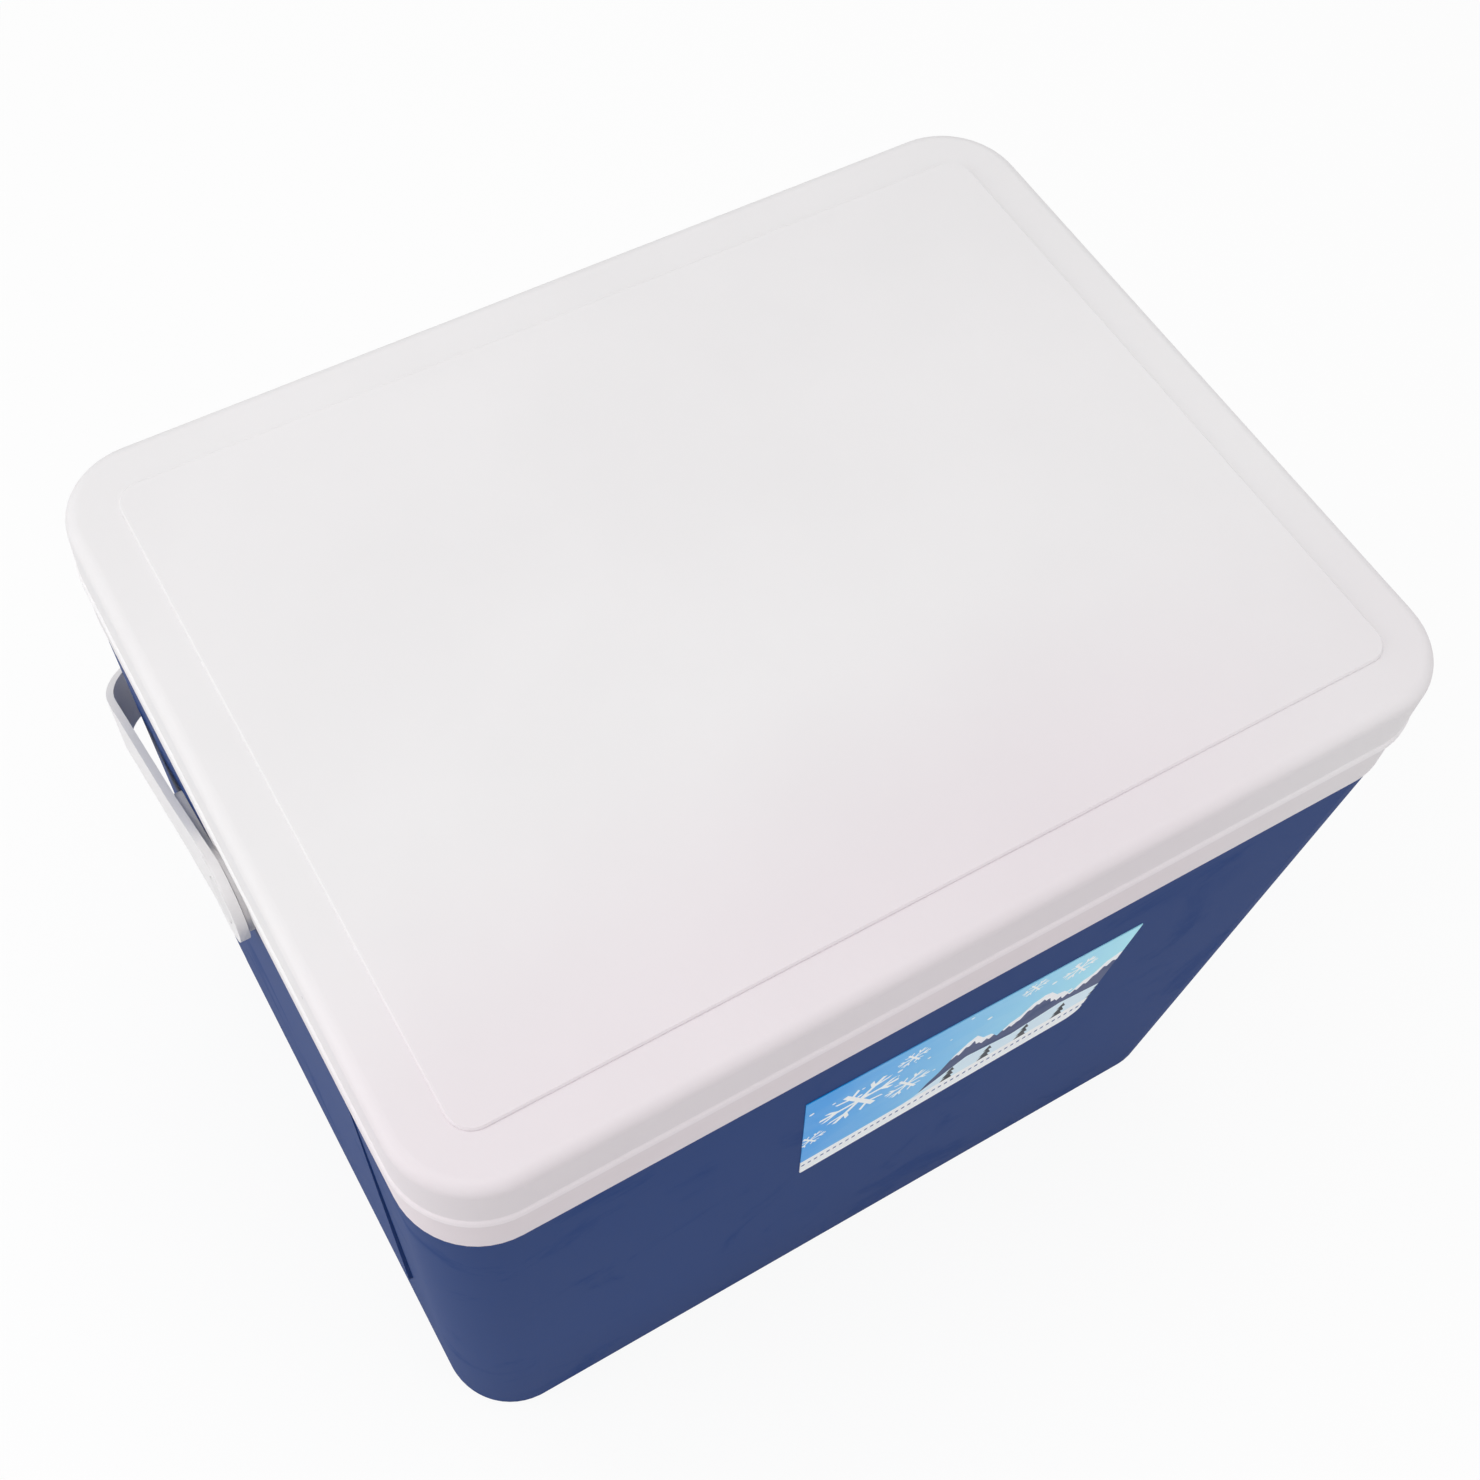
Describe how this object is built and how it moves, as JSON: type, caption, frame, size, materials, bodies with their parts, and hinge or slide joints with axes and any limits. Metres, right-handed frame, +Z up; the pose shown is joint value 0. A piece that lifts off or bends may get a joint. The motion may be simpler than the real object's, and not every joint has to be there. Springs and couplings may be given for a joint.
{
  "type": "vaccine carrier",
  "caption": "Insulated box-shaped vaccine carrier: flared blue tub, white hollow rim, lift-off white lid with a plug, swinging bail handle and upright ice packs round a storage space.",
  "frame": {"origin": "centre of the underside of the tub, on the plane it stands on", "axes": "+Z up, +X along the length (the handle's pivot axis runs along X), +Y towards the back, where the handle lies folded; the label is on the -Y wall"},
  "size_m": [0.409, 0.3187, 0.3447],
  "materials": {
    "blue_plastic": "satin",
    "white_plastic": "satin",
    "liner_plastic": "satin",
    "foam": "matte",
    "gasket_rubber": "matte",
    "label_film": "satin",
    "pack_plastic": "satin",
    "cap_plastic": "satin"
  },
  "bodies": {
    "carrier": {"outer_shell": "blue_plastic", "inner_liner": "liner_plastic", "body_foam": "foam", "handle_bracket_left": "white_plastic", "handle_bracket_right": "white_plastic", "pivot_stud_left": "white_plastic", "pivot_stud_right": "white_plastic", "front_label": "label_film"},
    "lid": {"lid_shell": "white_plastic", "lid_liner": "liner_plastic", "lid_foam": "foam", "lid_gasket": "gasket_rubber"},
    "handle": {"handle_bail": "white_plastic", "handle_arm_left": "white_plastic", "handle_arm_right": "white_plastic"},
    "pack_1": {"ice_pack_1": "pack_plastic", "ice_pack_cap_1": "cap_plastic"},
    "pack_2": {"ice_pack_2": "pack_plastic", "ice_pack_cap_2": "cap_plastic"},
    "pack_3": {"ice_pack_3": "pack_plastic", "ice_pack_cap_3": "cap_plastic"},
    "pack_4": {"ice_pack_4": "pack_plastic", "ice_pack_cap_4": "cap_plastic"},
    "pack_5": {"ice_pack_5": "pack_plastic", "ice_pack_cap_5": "cap_plastic"},
    "pack_6": {"ice_pack_6": "pack_plastic", "ice_pack_cap_6": "cap_plastic"}
  },
  "joints": [
    {"name": "lid_lift", "type": "slide", "parent": "carrier", "child": "lid", "axis": [0, 0, 1], "range_m": [0, 0.1]},
    {"name": "handle_swing", "type": "hinge", "parent": "carrier", "child": "handle", "pos_m": [0, 0, 0.287], "axis": [1, 0, 0], "range_deg": [0, 238]},
    {"name": "pack_1_lift", "type": "slide", "parent": "carrier", "child": "pack_1", "axis": [0, 0, 1], "range_m": [0, 0.06]},
    {"name": "pack_2_lift", "type": "slide", "parent": "carrier", "child": "pack_2", "axis": [0, 0, 1], "range_m": [0, 0.06]},
    {"name": "pack_3_lift", "type": "slide", "parent": "carrier", "child": "pack_3", "axis": [0, 0, 1], "range_m": [0, 0.06]},
    {"name": "pack_4_lift", "type": "slide", "parent": "carrier", "child": "pack_4", "axis": [0, 0, 1], "range_m": [0, 0.06]},
    {"name": "pack_5_lift", "type": "slide", "parent": "carrier", "child": "pack_5", "axis": [0, 0, 1], "range_m": [0, 0.06]},
    {"name": "pack_6_lift", "type": "slide", "parent": "carrier", "child": "pack_6", "axis": [0, 0, 1], "range_m": [0, 0.06]}
  ]
}
